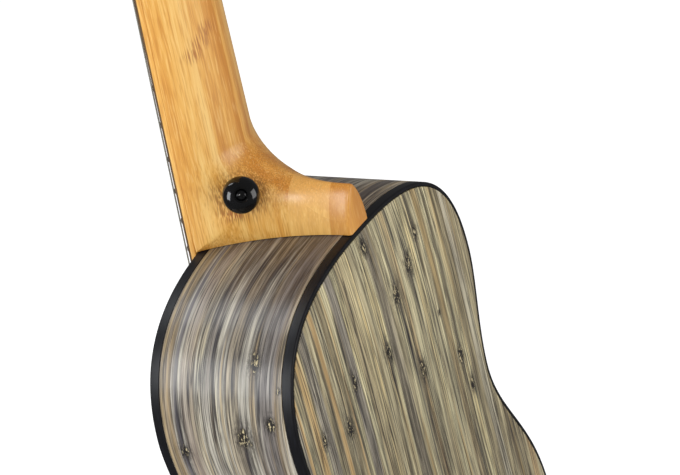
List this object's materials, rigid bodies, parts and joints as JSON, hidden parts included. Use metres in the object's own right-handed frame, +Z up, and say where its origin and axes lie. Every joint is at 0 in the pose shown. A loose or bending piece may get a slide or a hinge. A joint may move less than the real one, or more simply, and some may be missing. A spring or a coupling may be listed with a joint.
{
  "type": "soprano ukulele",
  "caption": "Soprano ukulele of bamboo with a stacked heel, black bound figure-eight body, strap buttons and open-geared tuners whose keys turn the string posts",
  "frame": {"origin": "Where a hanger's yoke carries the instrument: between its two arms, under the headstock's shoulders, on the centre line and in the plane of the soundboard's face", "axes": "+Z runs up along the neck, from the body to the headstock. +Y runs from the soundboard to the back. +X runs to the treble side, where the A string and the heel's strap button are"},
  "size_m": [0.177, 0.0734, 0.5275],
  "materials": {
    "bamboo_neck": "satin varnished bamboo, warm amber",
    "bamboo_heel": "satin varnished bamboo, lighter layer of the heel",
    "bamboo_body": "satin varnished bamboo, grey beige with long streaks",
    "softwood": "bare softwood inside the body",
    "black_binding": "black plastic with a soft sheen",
    "black_button": "glossy black plastic",
    "black_screw": "black lacquered steel",
    "dark_wood": "oiled dark wood",
    "bone": "polished, ivory coloured",
    "fret_wire": "polished nickel silver",
    "string_nylon": "clear nylon",
    "tuner_nickel": "nickel plated",
    "tuner_key": "nickel plated shaft and worm, black plastic button",
    "tuner_gear": "brass gear on its post"
  },
  "bodies": {
    "ukulele": {"soundboard": "bamboo_body", "back_plate": "bamboo_body", "side_bass": "bamboo_body", "side_treble": "bamboo_body", "top_binding": "black_binding", "back_binding": "black_binding", "neck_block": "softwood", "tail_block": "softwood", "lining_top_bass": "softwood", "lining_top_treble": "softwood", "lining_back_bass": "softwood", "lining_back_treble": "softwood", "soundboard_brace_upper": "softwood", "soundboard_brace_lower": "softwood", "bridge_plate": "softwood", "back_brace_upper": "softwood", "back_brace_lower": "softwood", "neck_shaft": "bamboo_neck", "heel_block": "bamboo_heel", "heel_cap": "bamboo_neck", "fretboard": "bamboo_neck", "nut": "bone", "fret_01": "fret_wire", "fret_02": "fret_wire", "fret_03": "fret_wire", "fret_04": "fret_wire", "fret_05": "fret_wire", "fret_06": "fret_wire", "fret_07": "fret_wire", "fret_08": "fret_wire", "fret_09": "fret_wire", "fret_10": "fret_wire", "fret_11": "fret_wire", "fret_12": "fret_wire", "bridge": "dark_wood", "saddle": "bone", "string_g": "string_nylon", "string_c": "string_nylon", "string_e": "string_nylon", "string_a": "string_nylon", "strap_button": "black_button", "strap_button_screw": "black_screw", "end_button": "black_button", "end_button_screw": "black_screw", "tuner_plate_g": "tuner_nickel", "tuner_plate_c": "tuner_nickel", "tuner_plate_e": "tuner_nickel", "tuner_plate_a": "tuner_nickel", "tuner_bushing_g": "tuner_nickel", "tuner_bushing_c": "tuner_nickel", "tuner_bushing_e": "tuner_nickel", "tuner_bushing_a": "tuner_nickel"},
    "key_g": {"tuning_key_g": "tuner_key"},
    "post_g": {"tuner_post_g": "tuner_gear"},
    "key_c": {"tuning_key_c": "tuner_key"},
    "post_c": {"tuner_post_c": "tuner_gear"},
    "key_e": {"tuning_key_e": "tuner_key"},
    "post_e": {"tuner_post_e": "tuner_gear"},
    "key_a": {"tuning_key_a": "tuner_key"},
    "post_a": {"tuner_post_a": "tuner_gear"}
  },
  "joints": [
    {"name": "key_g_turn", "type": "hinge", "parent": "ukulele", "child": "key_g", "pos_m": [-0.0135, 0.02377, 0.02641], "axis": [-1, 0, 0], "continuous": true},
    {"name": "post_g_turn", "type": "hinge", "parent": "ukulele", "child": "post_g", "pos_m": [-0.0135, 0.00665, 0.0233], "axis": [0, 0.9781, -0.2079], "continuous": true},
    {"name": "key_c_turn", "type": "hinge", "parent": "ukulele", "child": "key_c", "pos_m": [-0.0135, 0.03126, 0.06162], "axis": [-1, 0, 0], "continuous": true},
    {"name": "post_c_turn", "type": "hinge", "parent": "ukulele", "child": "post_c", "pos_m": [-0.0135, 0.01414, 0.05851], "axis": [0, 0.9781, -0.2079], "continuous": true},
    {"name": "key_e_turn", "type": "hinge", "parent": "ukulele", "child": "key_e", "pos_m": [0.0135, 0.03126, 0.06162], "axis": [1, 0, 0], "continuous": true},
    {"name": "post_e_turn", "type": "hinge", "parent": "ukulele", "child": "post_e", "pos_m": [0.0135, 0.01414, 0.05851], "axis": [0, 0.9781, -0.2079], "continuous": true},
    {"name": "key_a_turn", "type": "hinge", "parent": "ukulele", "child": "key_a", "pos_m": [0.0135, 0.02377, 0.02641], "axis": [1, 0, 0], "continuous": true},
    {"name": "post_a_turn", "type": "hinge", "parent": "ukulele", "child": "post_a", "pos_m": [0.0135, 0.00665, 0.0233], "axis": [0, 0.9781, -0.2079], "continuous": true}
  ],
  "couplings": [
    {"joint": "post_g_turn", "follows": "key_g_turn", "ratio": -0.071429},
    {"joint": "post_c_turn", "follows": "key_c_turn", "ratio": -0.071429},
    {"joint": "post_e_turn", "follows": "key_e_turn", "ratio": -0.071429},
    {"joint": "post_a_turn", "follows": "key_a_turn", "ratio": -0.071429}
  ]
}
